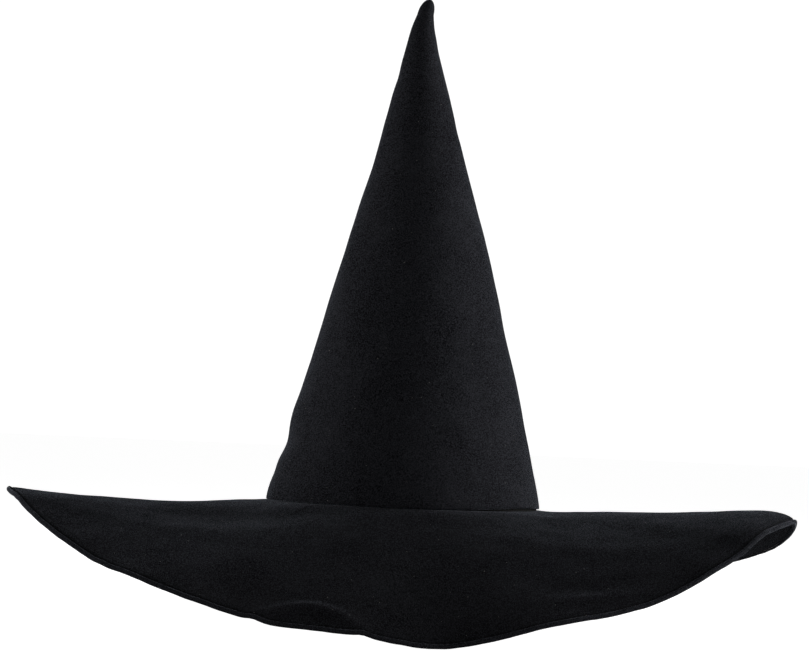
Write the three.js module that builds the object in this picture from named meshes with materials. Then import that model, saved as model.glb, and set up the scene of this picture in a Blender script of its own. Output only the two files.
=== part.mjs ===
import * as THREE from "three";

// A black witch's hat: a tall stiffened cloth crown on a wide brim with a wire in its edge.
// Millimetres. The origin is the centre of the head opening, where the crown meets the brim.
// +Z runs up the crown, -Y is the front and +X is the right-hand side seen from the front.
// A bearing is an angle round the hat in degrees: 0 at the front, 90 at +X and 180 at the back.

const { degToRad, radToDeg } = THREE.MathUtils;

// Driving dimensions
const BASE_RADIUS = 95; // outside of the crown where it meets the brim
const TIP_HEIGHT = 355; // top of the crown
const CONE_APEX = 364; // where the crown's straight sides would meet
const CONE_HALF_ANGLE = 14.8;
const BRIM_WIDTH = 180.5; // along the cloth, from the crown to the rolled edge
const LAYER_GAP = 0.3; // air between two layers of cloth

// Cloth and wire
const CROWN_CLOTH = 1.0;
const CROWN_STIFFENING = 1.2;
const LINING_CLOTH = 0.5;
const BRIM_CLOTH = 0.8;
const BRIM_STIFFENING = 0.8;
const SWEATBAND_CLOTH = 0.9;
const SWEATBAND_HEIGHT = 32;
const WIRE_RADIUS = 0.6;
const JOINER_LENGTH = 26;
const JOINER_RADIUS = 0.98;
const JOINER_BORE = 0.76;
const EDGE_ROLL_RADIUS = 1.9; // outside of the cloth rolled round the wire
const EDGE_ROLL_BORE = 1.6; // inside of that roll

// How the worn crown stands: it bows a little to +X, and its very tip leans that way too
const CROWN_BOW = 2.6;
const BOW_HEIGHT = 310;
const TIP_LEAN = 3.7;
const LEAN_START = 332;
const TUCK_HEIGHT = 8; // the seam draws the foot of the crown in over about this height
const WAIST_START = 190; // above this the sides are very slightly hollow
const WAIST_DEPTH = 1.4;

// The unstiffened top flops about this height; the cloth creases FOLD_REACH above and below it
const FOLD_HEIGHT = 284;
const FOLD_REACH = 12;
const STIFFENER_TOP = 266;
const LINING_TOP = 256;

// The bends in the brim's wire: [bearing, height of the edge over the head opening]
const WIRE_BENDS = [
  [-90, 1], [-73, -1], [-65, -10], [-54, -27.5], [-47, -38.5], [-40, -45.5], [-20, -69], [-6, -74],
  [7, -81], [22, -64], [32, -56], [39, -47.5], [49, -28], [55, -17], [58.5, -9], [61.5, -4.3], [66.5, -1.6],
  [75, 0.5], [84, 0.5], [92, -7], [101, -17], [112, -28], [145, -60], [180, -75], [215, -60], [248, -22],
];
const BRIM_CURVE = 1.1; // the brim falls a little faster towards its edge
const WIRE_HOLD = 4; // the wire's short bends fade fast away from the edge
const EASING = [[-14, 1], [-7, 2], [0, 2], [7, 2], [14, 1]]; // [turn, weight] for evening them out
const SIDE_SAG = 2.7; // dip half way out along the -X side
const TIP_CURL = 10; // the brim arches up just inside the +X tip
const CURL_BEARING = 77;
const CURL_REACH = 15;

// Facets
const CROWN_SIDES = 40;
const CROWN_RING = 45; // height of one ring of facets
const FOOT_RING = 12; // the first ring is lower, where the foot of the crown curves
const BRIM_SIDES = 64;
const BRIM_RINGS = 4;

const black = { metalness: 0, roughness: 0.95 };
const felt = new THREE.MeshStandardMaterial({ ...black, color: 0x121315 });
const stiffening = new THREE.MeshStandardMaterial({ ...black, color: 0x2a2a2c });
const liningCloth = new THREE.MeshStandardMaterial({ ...black, color: 0x0d0d0f, roughness: 0.6 });
const ribbon = new THREE.MeshStandardMaterial({ ...black, color: 0x0b0b0c, roughness: 0.7 });
const labelCloth = new THREE.MeshStandardMaterial({ ...black, color: 0xd8d8d4 });
const steel = new THREE.MeshStandardMaterial({ color: 0x9a9a98, roughness: 0.35, metalness: 1 });

const hat = new THREE.Group();

function add(name, geometry, material) {
  const mesh = new THREE.Mesh(geometry, material);
  mesh.name = name;
  hat.add(mesh);
}

// ---- The crown's shape ----

function crownRadius(height) {
  const slope = Math.tan(degToRad(CONE_HALF_ANGLE));
  const cone = (CONE_APEX - height) * slope;
  const tuck = (CONE_APEX * slope - BASE_RADIUS) * Math.exp(-Math.max(height, 0) / TUCK_HEIGHT);
  const up = THREE.MathUtils.clamp((height - WAIST_START) / (TIP_HEIGHT - WAIST_START), 0, 1);
  return cone - tuck - WAIST_DEPTH * Math.sin(Math.PI * up);
}

function crownCentre(height) {
  const bow = CROWN_BOW * Math.sin(Math.PI * THREE.MathUtils.clamp(height / BOW_HEIGHT, 0, 1));
  const lean = Math.max(0, (height - LEAN_START) / (TIP_HEIGHT - LEAN_START));
  return bow + TIP_LEAN * lean ** 1.5;
}

function crownLevels(from, to) {
  const levels = [from];
  if (from < FOOT_RING) levels.push(FOOT_RING);
  for (let z = Math.ceil(from / CROWN_RING) * CROWN_RING; z < to; z += CROWN_RING) {
    if (z > from) levels.push(z);
  }
  levels.push(to);
  return levels;
}

// Turns a profile of [radius, height] about the crown's own bowed centre line
function crownLathe(profile) {
  const points = profile.map(([radius, height]) => new THREE.Vector2(radius, height));
  const geometry = new THREE.LatheGeometry(points, CROWN_SIDES).rotateX(Math.PI / 2);
  return bowed(geometry);
}

function bowed(geometry) {
  const place = geometry.attributes.position;
  for (let i = 0; i < place.count; i += 1) {
    place.setX(i, place.getX(i) + crownCentre(place.getZ(i)));
  }
  return geometry;
}

// The cloth's outside and inside, from the bottom up, at a depth below the crown's surface
function coneSides(depth, thickness, from, to) {
  const levels = crownLevels(from, to);
  return {
    outside: levels.map((z) => [crownRadius(z) - depth, z]),
    inside: levels.map((z) => [crownRadius(z) - depth - thickness, z]),
  };
}

function openCone(depth, thickness, from, to) {
  const { outside, inside } = coneSides(depth, thickness, from, to);
  return crownLathe([...outside, ...inside.reverse(), outside[0]]);
}

function closedCone(depth, thickness, from, to) {
  const { outside, inside } = coneSides(depth, thickness, from, to);
  return crownLathe([[0, to - thickness], ...inside.reverse().slice(1), ...outside, [0, to]]);
}

// ---- The brim's shape ----

// Height of the wire at a bearing: a smooth closed curve through the bends
function edgeHeight(bearing) {
  const turn = 360;
  const first = WIRE_BENDS[0][0];
  const at = first + THREE.MathUtils.euclideanModulo(bearing - first, turn);
  const count = WIRE_BENDS.length;
  const bend = (i) => {
    const [angle, height] = WIRE_BENDS[THREE.MathUtils.euclideanModulo(i, count)];
    return [angle + turn * Math.floor(i / count), height];
  };
  let i = 0;
  while (bend(i + 1)[0] <= at) i += 1;
  const [before, left, right, after] = [bend(i - 1), bend(i), bend(i + 1), bend(i + 2)];
  const span = right[0] - left[0];
  const t = (at - left[0]) / span;
  const leftSlope = (right[1] - before[1]) / (right[0] - before[0]);
  const rightSlope = (after[1] - left[1]) / (after[0] - left[0]);
  return (
    (2 * t ** 3 - 3 * t ** 2 + 1) * left[1]
    + (t ** 3 - 2 * t ** 2 + t) * span * leftSlope
    + (3 * t ** 2 - 2 * t ** 3) * right[1]
    + (t ** 3 - t ** 2) * span * rightSlope
  );
}

// The height with the wire's short bends evened out, as the cloth away from the wire lies
function easedHeight(bearing) {
  const weights = EASING.reduce((sum, [, weight]) => sum + weight, 0);
  return EASING.reduce((sum, [turn, weight]) => sum + weight * edgeHeight(bearing + turn), 0) / weights;
}

function tipCurl(share, bearing) {
  const turn = (THREE.MathUtils.euclideanModulo(bearing - CURL_BEARING + 180, 360) - 180) / CURL_REACH;
  return TIP_CURL * Math.exp(-(turn ** 2)) * share ** 1.2 * (1 - share ** 20);
}

// Where a point of the flat cut brim lies: its radius in plan and its height
function brimDrape(cutRadius, bearing) {
  const out = Math.max(0, cutRadius - BASE_RADIUS);
  const share = Math.min(1, out / BRIM_WIDTH);
  const edge = edgeHeight(bearing);
  const side = Math.max(0, -Math.sin(degToRad(bearing))) ** 3;
  const eased = easedHeight(bearing);
  const fall = eased * share ** BRIM_CURVE + (edge - eased) * share ** WIRE_HOLD;
  return {
    radius: cutRadius - out + out * Math.sqrt(1 - (edge / BRIM_WIDTH) ** 2),
    height: fall - SIDE_SAG * side * Math.sin(Math.PI * share) + tipCurl(share, bearing),
  };
}

function brimPoint(cutRadius, bearing, lift) {
  const { radius, height } = brimDrape(cutRadius, bearing);
  const angle = degToRad(bearing);
  return new THREE.Vector3(radius * Math.sin(angle), -radius * Math.cos(angle), height + lift);
}

// Turns a profile of [cut radius, lift over the brim's upper surface] and lets it drape
function brimLathe(profile) {
  const points = profile.map(([radius, lift]) => new THREE.Vector2(radius, lift));
  const geometry = new THREE.LatheGeometry(points, BRIM_SIDES).rotateX(Math.PI / 2);
  const place = geometry.attributes.position;
  for (let i = 0; i < place.count; i += 1) {
    const [x, y, lift] = [place.getX(i), place.getY(i), place.getZ(i)];
    const draped = brimPoint(Math.hypot(x, y), radToDeg(Math.atan2(x, -y)), lift);
    place.setXYZ(i, draped.x, draped.y, draped.z);
  }
  return geometry;
}

// Turns the diagonals of the upper facets, so that on the twisted brim they lie over the lower ones
function matchDiagonals(geometry, corners, firstUpper) {
  for (let side = 0; side < BRIM_SIDES; side += 1) {
    for (let row = firstUpper; row < corners - 1; row += 1) {
      const a = row + side * corners;
      const [b, c, d] = [a + corners, a + corners + 1, a + 1];
      const first = 6 * (side * (corners - 1) + row);
      [a, b, c, a, c, d].forEach((corner, i) => geometry.index.setX(first + i, corner));
    }
  }
  return geometry;
}

function brimLayer(top, thickness, innerRadius, outerRadius) {
  const radii = [innerRadius];
  for (let ring = 0; ring <= BRIM_RINGS; ring += 1) {
    radii.push(BASE_RADIUS + ((outerRadius - BASE_RADIUS) * ring) / BRIM_RINGS);
  }
  const under = radii.map((radius) => [radius, top - thickness]);
  const over = radii.map((radius) => [radius, top]).reverse();
  const profile = [...under, ...over, under[0]];
  return matchDiagonals(brimLathe(profile), profile.length, under.length);
}

// ---- Bands that lie round the inside of the crown ----

// A strip between two bearings, with its ends square, leaning in with the crown
function insideBand(depth, thickness, from, to, startBearing, endBearing) {
  const outer = BASE_RADIUS - depth;
  const start = degToRad(startBearing - 90);
  const end = degToRad(endBearing - 90);
  const strip = new THREE.Shape();
  strip.absarc(0, 0, outer, start, end, false);
  strip.absarc(0, 0, outer - thickness, end, start, true);
  const curveSegments = Math.ceil(((endBearing - startBearing) / 360) * CROWN_SIDES) + 1;
  const flat = { depth: to - from, steps: 2, bevelEnabled: false, curveSegments };
  const geometry = new THREE.ExtrudeGeometry(strip, flat).translate(0, 0, from);
  const place = geometry.attributes.position;
  for (let i = 0; i < place.count; i += 1) {
    const [x, y] = [place.getX(i), place.getY(i)];
    const height = Math.max(0, place.getZ(i));
    const grown = 1 + (crownRadius(height) - BASE_RADIUS) / Math.hypot(x, y);
    place.setXY(i, x * grown, y * grown);
  }
  return bowed(geometry);
}

// ---- The wire's path along the brim's edge ----

const EDGE_CENTRE = BASE_RADIUS + BRIM_WIDTH - EDGE_ROLL_RADIUS;
const EDGE_LIFT = -(BRIM_CLOTH + LAYER_GAP + BRIM_STIFFENING / 2);

// The centre of the rolled edge, straight along each of the brim's facets
class EdgePath extends THREE.Curve {
  constructor(startBearing, endBearing) {
    super();
    this.bearings = [startBearing, endBearing];
  }

  getPoint(share) {
    const [start, end] = this.bearings;
    const bearing = start + (end - start) * share;
    const facet = 360 / BRIM_SIDES;
    const corner = Math.floor(bearing / facet) * facet;
    const next = brimPoint(EDGE_CENTRE, corner + facet, EDGE_LIFT);
    return brimPoint(EDGE_CENTRE, corner, EDGE_LIFT).lerp(next, (bearing - corner) / facet);
  }

  // Steps fall at equal bearings, as the facets do, and not at equal lengths
  getUtoTmapping(share) {
    return share;
  }
}

function alongEdge(shape, startBearing, endBearing, steps) {
  const extrudePath = new EdgePath(startBearing, endBearing);
  return new THREE.ExtrudeGeometry(shape, { extrudePath, steps, curveSegments: 4 });
}

function disc(radius) {
  return new THREE.Shape().absarc(0, 0, radius, 0, 2 * Math.PI, false);
}

// ---- The pieces ----

const CROWN_FOOT = LAYER_GAP;
const STIFFENER_DEPTH = CROWN_CLOTH + LAYER_GAP;
const LINING_DEPTH = STIFFENER_DEPTH + CROWN_STIFFENING + LAYER_GAP;
const SWEATBAND_DEPTH = LINING_DEPTH + LINING_CLOTH + 3 * LAYER_GAP;
const JOIN_DEPTH = SWEATBAND_DEPTH + SWEATBAND_CLOTH + 3 * LAYER_GAP;
const JOIN_CLOTH = 0.6;
const JOIN_MARGIN = 3; // of the band left bare over and under the tab
const JOIN_HALF = 7; // half the tab's width in degrees
const BRIM_HOLE = BASE_RADIUS - SWEATBAND_DEPTH + LAYER_GAP;
const BRIM_END = EDGE_CENTRE - EDGE_ROLL_RADIUS - LAYER_GAP;
const UNDER_TOP = -(BRIM_CLOTH + BRIM_STIFFENING + 2 * LAYER_GAP);
const BRIM_UNDERSIDE = UNDER_TOP - BRIM_CLOTH;

function crownShell() {
  return openCone(0, CROWN_CLOTH, CROWN_FOOT, FOLD_HEIGHT - FOLD_REACH);
}

// The stretch of the same cloth that creases when the top flops
function crownFold() {
  const bottom = FOLD_HEIGHT - FOLD_REACH + LAYER_GAP;
  return openCone(0, CROWN_CLOTH, bottom, FOLD_HEIGHT + FOLD_REACH - LAYER_GAP);
}

// The top of the same cloth, closed by the blunt tip
function crownTip() {
  const shoulder = TIP_HEIGHT - 16;
  const browRadius = 5.3;
  const crestRadius = 3.2;
  const { outside, inside } = coneSides(0, CROWN_CLOTH, FOLD_HEIGHT + FOLD_REACH, shoulder);
  const hollow = [[0, shoulder - CROWN_CLOTH], ...inside.reverse()];
  const dome = [[browRadius, TIP_HEIGHT - 8], [crestRadius, TIP_HEIGHT - 2.5], [0, TIP_HEIGHT]];
  return crownLathe([...hollow, ...outside, ...dome]);
}

function crownStiffener() {
  return openCone(STIFFENER_DEPTH, CROWN_STIFFENING, CROWN_FOOT, STIFFENER_TOP);
}

function crownLining() {
  return closedCone(LINING_DEPTH, LINING_CLOTH, CROWN_FOOT, LINING_TOP);
}

// The strip of cloth rolled round the wire, open where it is sewn to the brim
function edgeBinding() {
  const slit = 14; // degrees left open to each side of the brim's own level
  const corners = 9;
  const around = (radius, i) => {
    const angle = degToRad(-180 + slit + ((360 - 2 * slit) * i) / (corners - 1));
    return [EDGE_CENTRE + radius * Math.cos(angle), EDGE_LIFT + radius * Math.sin(angle)];
  };
  const indices = Array.from({ length: corners }, (_, i) => i);
  const outside = indices.map((i) => around(EDGE_ROLL_RADIUS, i));
  const inside = indices.map((i) => around(EDGE_ROLL_BORE, i)).reverse();
  return brimLathe([...outside, ...inside, outside[0]]);
}

// One length of round wire whose ends meet at the back
function brimWire() {
  const endGap = 0.1;
  return alongEdge(disc(WIRE_RADIUS), -180 + endGap, 180 - endGap, BRIM_SIDES);
}

// The metal sleeve pressed over the two ends of the wire
function wireJoiner() {
  const sleeve = disc(JOINER_RADIUS);
  sleeve.holes.push(disc(JOINER_BORE));
  const half = radToDeg(JOINER_LENGTH / 2 / EDGE_CENTRE);
  return alongEdge(sleeve, 180 - half, 180 + half, 2);
}

function sweatband() {
  const endGap = 0.4;
  const top = BRIM_UNDERSIDE + SWEATBAND_HEIGHT;
  const strip = [SWEATBAND_DEPTH, SWEATBAND_CLOTH, BRIM_UNDERSIDE, top];
  return insideBand(...strip, -180 + endGap, 180 - endGap);
}

// The tab sewn over the joint in the sweatband at the back
function sweatbandJoin() {
  const bottom = BRIM_UNDERSIDE + JOIN_MARGIN;
  const top = BRIM_UNDERSIDE + SWEATBAND_HEIGHT - JOIN_MARGIN;
  return insideBand(JOIN_DEPTH, JOIN_CLOTH, bottom, top, 180 - JOIN_HALF, 180 + JOIN_HALF);
}

// A blank label sewn into the lining just over the sweatband
function careLabel() {
  const clothThickness = 0.4;
  const height = 38;
  const sides = [198, 216];
  const bottom = BRIM_UNDERSIDE + SWEATBAND_HEIGHT + 1;
  return insideBand(SWEATBAND_DEPTH, clothThickness, bottom, bottom + height, ...sides);
}

add("crown_shell", crownShell(), felt);
add("crown_fold", crownFold(), felt);
add("crown_tip", crownTip(), felt);
add("crown_stiffener", crownStiffener(), stiffening);
add("crown_lining", crownLining(), liningCloth);
add("brim_top", brimLayer(0, BRIM_CLOTH, BRIM_HOLE, BRIM_END), felt);
add("brim_stiffener", brimLayer(-BRIM_CLOTH - LAYER_GAP, BRIM_STIFFENING, BRIM_HOLE, BRIM_END), stiffening);
add("brim_under", brimLayer(UNDER_TOP, BRIM_CLOTH, BRIM_HOLE, BRIM_END), felt);
add("brim_edge_binding", edgeBinding(), felt);
add("brim_wire", brimWire(), steel);
add("wire_joiner", wireJoiner(), steel);
add("sweatband", sweatband(), ribbon);
add("sweatband_join", sweatbandJoin(), ribbon);
add("care_label", careLabel(), labelCloth);

export default hat;
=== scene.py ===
"""A black witch's hat: the cloth, wire, thread and linings of the finished hat, in metres.

The origin is the centre of the head opening. +Z runs up the crown, -Y is the front and +X is the right-hand
side seen from the front. A bearing is an angle round the hat in degrees: 0 at the front, 90 at +X.
"""

from functools import lru_cache
from math import atan2, cos, degrees, exp, floor, hypot, pi, radians, sin, sqrt, tan

import bmesh
import bpy
from mathutils import Matrix, Vector, noise


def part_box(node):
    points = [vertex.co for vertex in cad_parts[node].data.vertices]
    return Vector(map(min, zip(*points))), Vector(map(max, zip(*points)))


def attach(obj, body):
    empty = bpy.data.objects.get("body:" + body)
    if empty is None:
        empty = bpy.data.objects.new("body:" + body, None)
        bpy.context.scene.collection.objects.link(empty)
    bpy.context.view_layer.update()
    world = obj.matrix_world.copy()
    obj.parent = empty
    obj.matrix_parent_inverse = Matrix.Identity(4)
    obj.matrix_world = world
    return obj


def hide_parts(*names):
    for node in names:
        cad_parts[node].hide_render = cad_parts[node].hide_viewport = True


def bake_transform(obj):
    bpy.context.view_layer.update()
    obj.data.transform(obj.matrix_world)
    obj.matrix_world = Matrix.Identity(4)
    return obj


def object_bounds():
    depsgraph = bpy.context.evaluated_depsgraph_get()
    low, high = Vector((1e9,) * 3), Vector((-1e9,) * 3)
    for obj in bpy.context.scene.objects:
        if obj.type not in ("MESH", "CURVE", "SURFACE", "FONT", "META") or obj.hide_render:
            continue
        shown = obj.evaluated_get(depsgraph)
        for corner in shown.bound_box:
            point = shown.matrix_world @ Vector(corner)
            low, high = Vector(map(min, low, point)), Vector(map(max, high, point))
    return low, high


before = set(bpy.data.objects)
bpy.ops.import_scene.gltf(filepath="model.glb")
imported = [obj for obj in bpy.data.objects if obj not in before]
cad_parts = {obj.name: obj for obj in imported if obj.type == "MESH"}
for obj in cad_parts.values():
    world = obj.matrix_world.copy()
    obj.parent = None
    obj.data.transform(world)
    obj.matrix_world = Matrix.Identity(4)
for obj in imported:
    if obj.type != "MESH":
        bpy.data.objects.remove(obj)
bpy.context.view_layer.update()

MM = 0.001


# ---- Brim, upper cloth ----
# A flat ring of brushed felt-like cloth. It is sewn to the crown round its hole and to the rolled edge all round,
# and it lies the way the wire in that edge has been bent: level at the two sides, drooping front and back.

BASE_RADIUS = 95 * MM
BRIM_WIDTH = 180.5 * MM
BRIM_HOLE = 91.2 * MM
BRIM_CLOTH = 0.8 * MM
LAYER_GAP = 0.3 * MM
ROLL_RADIUS = 1.6 * MM
ROLL_CENTRE = BASE_RADIUS + BRIM_WIDTH - ROLL_RADIUS
ROLL_LIFT = -1.5 * MM
BRIM_END = ROLL_CENTRE - 1.1 * MM

# The bends in the wire: (bearing, height of the edge over the head opening in millimetres)
WIRE_BENDS = [
    (-90, 1), (-73, -1), (-65, -10), (-54, -27.5), (-47, -38.5), (-40, -45.5), (-20, -69), (-6, -74), (7, -81),
    (22, -64), (32, -56), (39, -47.5), (49, -28), (55, -17), (58.5, -9), (61.5, -4.3), (66.5, -1.6), (75, 0.5),
    (84, 0.5), (92, -7), (101, -17), (112, -28), (145, -60), (180, -75), (215, -60), (248, -22),
]
BRIM_CURVE = 1.1
WIRE_HOLD = 4
TIP_CURL = 10 * MM
SIDE_SAG = 2.7 * MM

# Soft folds in the cloth: where the middle of each lies (bearing, share of the way out), how far it reaches to
# each side in degrees, how it turns outwards over that reach, its half width as a share, and its height
BRIM_FOLDS = [
    # bearing, share, reach, lean, curve, half width, height
    (-54, 0.62, 20, -0.0115, 0.00000, 0.085, 0.7 * MM),
    (-60, 0.42, 22, -0.0090, 0.00000, 0.140, -2.3 * MM),
    (-92, 0.33, 14, 0.0000, 0.00000, 0.150, -1.6 * MM),
    (-13, 0.87, 9, -0.0010, 0.00190, 0.036, 2.5 * MM),
    (-13, 0.95, 6, 0.0000, 0.00100, 0.036, -0.9 * MM),
    (43, 0.57, 13, 0.0180, 0.00000, 0.090, 0.9 * MM),
    (58, 0.36, 18, 0.0060, 0.00000, 0.170, -1.2 * MM),
    (37, 0.74, 10, 0.0080, 0.00000, 0.050, 0.4 * MM),
    (31, 0.88, 8, 0.0060, 0.00000, 0.040, 1.2 * MM),
    (33, 0.80, 9, 0.0070, 0.00000, 0.050, -0.6 * MM),
    (52, 0.12, 9, 0.0100, 0.00000, 0.060, 0.5 * MM),
    (128, 0.55, 17, 0.0090, 0.00000, 0.080, 2.2 * MM),
    (196, 0.82, 9, 0.0010, 0.00220, 0.050, 1.8 * MM),
    (222, 0.50, 16, -0.0080, 0.00000, 0.080, 2.0 * MM),
]


@lru_cache(maxsize=None)
def edge_height(bearing):
    """A smooth closed curve through the wire's bends."""
    count = len(WIRE_BENDS)

    def bend(i):
        angle, height = WIRE_BENDS[i % count]
        return angle + 360 * (i // count), height * MM

    first = WIRE_BENDS[0][0]
    at = first + (bearing - first) % 360
    i = 0
    while bend(i + 1)[0] <= at:
        i += 1
    before, left, right, after = (bend(i + k) for k in (-1, 0, 1, 2))
    span = right[0] - left[0]
    t = (at - left[0]) / span
    left_slope = (right[1] - before[1]) / (right[0] - before[0])
    right_slope = (after[1] - left[1]) / (after[0] - left[0])
    return (
        (2 * t**3 - 3 * t**2 + 1) * left[1]
        + (t**3 - 2 * t**2 + t) * span * left_slope
        + (3 * t**2 - 2 * t**3) * right[1]
        + (t**3 - t**2) * span * right_slope
    )


@lru_cache(maxsize=None)
def eased_height(bearing):
    """The edge's height with its short bends evened out, as the cloth away from the wire lies."""
    near = ((-14, 1), (-7, 2), (0, 2), (7, 2), (14, 1))
    return sum(weight * edge_height(bearing + turn) for turn, weight in near) / 8


def brim_fold_height(share, bearing):
    """Folds, the unevenness of soft cloth, and the fine puckers beside the stitched edge."""
    height = 0
    for middle, out, reach, lean, curve, half_width, rise in BRIM_FOLDS:
        turn = (bearing - middle + 180) % 360 - 180
        if abs(turn) < 2.5 * reach:
            crest = out + lean * turn + curve * turn * turn
            height += rise * exp(-((turn / reach) ** 2) - ((share - crest) / half_width) ** 2)
    angle = radians(bearing)
    radius = BASE_RADIUS + share * BRIM_WIDTH
    spot = Vector((radius * sin(angle), radius * cos(angle), 0))
    height += 1.1 * MM * noise.noise(spot * 16) + 0.3 * MM * noise.noise(spot * 55)
    height *= min(1, share / 0.12)
    from_edge = (1 - share) * BRIM_WIDTH
    if from_edge < 25 * MM:
        height += 0.35 * MM * noise.noise(spot * 95) * exp(-from_edge / (7 * MM))
    if share * BRIM_WIDTH < 20 * MM:
        near_crown = exp(-share * BRIM_WIDTH / (5 * MM)) * min(1, share / 0.01)
        height += 0.3 * MM * noise.noise(spot * 130) * near_crown
    return height


def brim_drape(cut_radius, bearing):
    """Where a point of the flat cut ring lies on a brim without folds."""
    out = max(0.0, cut_radius - BASE_RADIUS)
    share = out / BRIM_WIDTH
    edge = edge_height(bearing)
    angle = radians(bearing)
    side = max(0.0, -sin(angle)) ** 3
    radius = cut_radius - out + out * sqrt(1 - (edge / BRIM_WIDTH) ** 2)
    eased = eased_height(bearing)
    height = eased * share**BRIM_CURVE + (edge - eased) * share**WIRE_HOLD - SIDE_SAG * side * sin(pi * share)
    turn = (bearing - 77 + 180) % 360 - 180
    height += TIP_CURL * exp(-((turn / 15) ** 2)) * share**1.2 * (1 - share**20)
    return Vector((radius * sin(angle), -radius * cos(angle), height))


@lru_cache(maxsize=None)
def brim_frame(cut_radius, bearing):
    """A point of the worn brim, with the directions outwards, round the hat, and square to the cloth."""
    reach, turn = 0.6 * MM, 0.25
    outward = brim_drape(cut_radius + reach, bearing) - brim_drape(cut_radius - reach, bearing)
    around = brim_drape(cut_radius, bearing + turn) - brim_drape(cut_radius, bearing - turn)
    share = max(0.0, cut_radius - BASE_RADIUS) / BRIM_WIDTH
    place = brim_drape(cut_radius, bearing) + Vector((0, 0, brim_fold_height(share, bearing)))
    return place, outward.normalized(), around.normalized(), outward.cross(around).normalized()


def brim_point(cut_radius, bearing, lift):
    place, _, _, square = brim_frame(round(cut_radius, 6), round(bearing, 3))
    return place + square * lift


def bearing_of(point):
    return degrees(atan2(point.x, -point.y))


def spun(profile, steps):
    """Turns a closed profile of (radius, height) once round the hat's axis: a twelfth, and copies of it."""
    bm = bmesh.new()
    corners = [bm.verts.new((radius, 0, height)) for radius, height in profile]
    pairs = [pair for pair in zip(corners, corners[1:] + corners[:1]) if pair[0].co.x or pair[1].co.x]
    edges = [bm.edges.new(pair) for pair in pairs]
    axis = {"cent": (0, 0, 0), "axis": (0, 0, 1)}
    bmesh.ops.spin(bm, geom=corners + edges, angle=pi / 6, steps=steps // 12, **axis)
    sector = list(bm.verts) + list(bm.edges) + list(bm.faces)
    bmesh.ops.spin(bm, geom=sector, angle=pi * 11 / 6, steps=11, use_duplicate=True, **axis)
    bmesh.ops.remove_doubles(bm, verts=bm.verts, dist=2e-6)
    return bm


def lay_on_brim(bm):
    """Moves what was spun flat, in cut radius and lift, to where the brim lies."""
    for vert in bm.verts:
        vert.co = brim_point(hypot(vert.co.x, vert.co.y), bearing_of(vert.co), vert.co.z)
    return bm


def sewn_piece(name, bm, material, sharp=50):
    """Makes the finished object of one piece of the hat."""
    bmesh.ops.recalc_face_normals(bm, faces=bm.faces)
    mesh = bpy.data.meshes.new(name)
    bm.to_mesh(mesh)
    bm.free()
    mesh.shade_smooth()
    mesh.set_sharp_from_angle(angle=radians(sharp))
    mesh.materials.append(material)
    made = bpy.data.objects.new(name, mesh)
    bpy.context.scene.collection.objects.link(made)
    return made


def node(tree, kind, values=None, **settings):
    """Adds a node with its settings, its unlinked values and its links."""
    made = tree.nodes.new("ShaderNode" + kind)
    for name, value in settings.items():
        setattr(made, name, value)
    for name, value in (values or {}).items():
        if isinstance(value, bpy.types.NodeSocket):
            tree.links.new(value, made.inputs[name])
        else:
            made.inputs[name].default_value = value
    return made


def effect_group(name, inputs, outputs):
    """Starts a node group with named inputs and outputs and returns it with its two ends."""
    group = bpy.data.node_groups.new(name, "ShaderNodeTree")
    for label, kind, value in inputs:
        made = group.interface.new_socket(label, in_out="INPUT", socket_type="NodeSocket" + kind)
        if value is not None:
            made.default_value = value
    for label, kind in outputs:
        group.interface.new_socket(label, in_out="OUTPUT", socket_type="NodeSocket" + kind)
    return group, group.nodes.new("NodeGroupInput"), group.nodes.new("NodeGroupOutput")


def brushed_nap_group():
    """Short brushed fibres: a mottled tone, soft clouds of lighter nap, and the height of the fibres."""
    group, given, result = effect_group(
        "brushed_nap",
        [("Place", "Vector", None), ("Deep", "Color", None), ("Raised", "Color", None), ("Clouding", "Float", 0.4)],
        [("Color", "Color"), ("Height", "Float"), ("Mask", "Float")],
    )
    place = given.outputs["Place"]
    brushed = node(group, "Mapping", {"Vector": place, "Scale": (1.0, 0.2, 1.0)})
    grain = node(
        group, "TexNoise", {"Vector": brushed.outputs["Vector"], "Scale": 1400, "Detail": 3, "Roughness": 0.8}
    )
    fibre_place = node(group, "Mapping", {"Vector": place, "Scale": (1.0, 0.35, 0.6), "Rotation": (0.3, 0.5, 0.9)})
    fibre = node(
        group, "TexNoise",
        {"Vector": fibre_place.outputs["Vector"], "Scale": 2300, "Detail": 2, "Roughness": 0.6, "Distortion": 1.2},
    )
    cloud = node(group, "TexNoise", {"Vector": place, "Scale": 28, "Detail": 3, "Roughness": 0.6})
    mixed = node(
        group, "MapRange",
        {"Value": grain.outputs["Fac"], "From Min": 0.45, "From Max": 0.61, "To Min": 0.0, "To Max": 1.0},
    )
    clouds = node(
        group, "MapRange",
        {"Value": cloud.outputs["Fac"], "From Min": 0.35, "From Max": 0.7, "To Min": 0.0, "To Max": 1.0},
    )
    clouded = node(
        group, "Math", {0: clouds.outputs["Result"], 1: given.outputs["Clouding"]}, operation="MULTIPLY"
    )
    fibre_tone = node(
        group, "MapRange",
        {"Value": fibre.outputs["Fac"], "From Min": 0.42, "From Max": 0.72, "To Min": 0.0, "To Max": 0.55},
    )
    tone = node(group, "Math", {0: mixed.outputs["Result"], 1: clouded.outputs["Value"]}, operation="ADD")
    whole = node(
        group, "Math", {0: tone.outputs["Value"], 1: fibre_tone.outputs["Result"]}, operation="ADD", use_clamp=True
    )
    colour = node(
        group, "Mix",
        {"Factor": whole.outputs["Value"], "A": given.outputs["Deep"], "B": given.outputs["Raised"]},
        data_type="RGBA",
    )
    height = node(group, "Math", {0: grain.outputs["Fac"], 1: fibre.outputs["Fac"]}, operation="ADD")
    group.links.new(colour.outputs["Result"], result.inputs["Color"])
    group.links.new(height.outputs["Value"], result.inputs["Height"])
    group.links.new(whole.outputs["Value"], result.inputs["Mask"])
    return group


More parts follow.
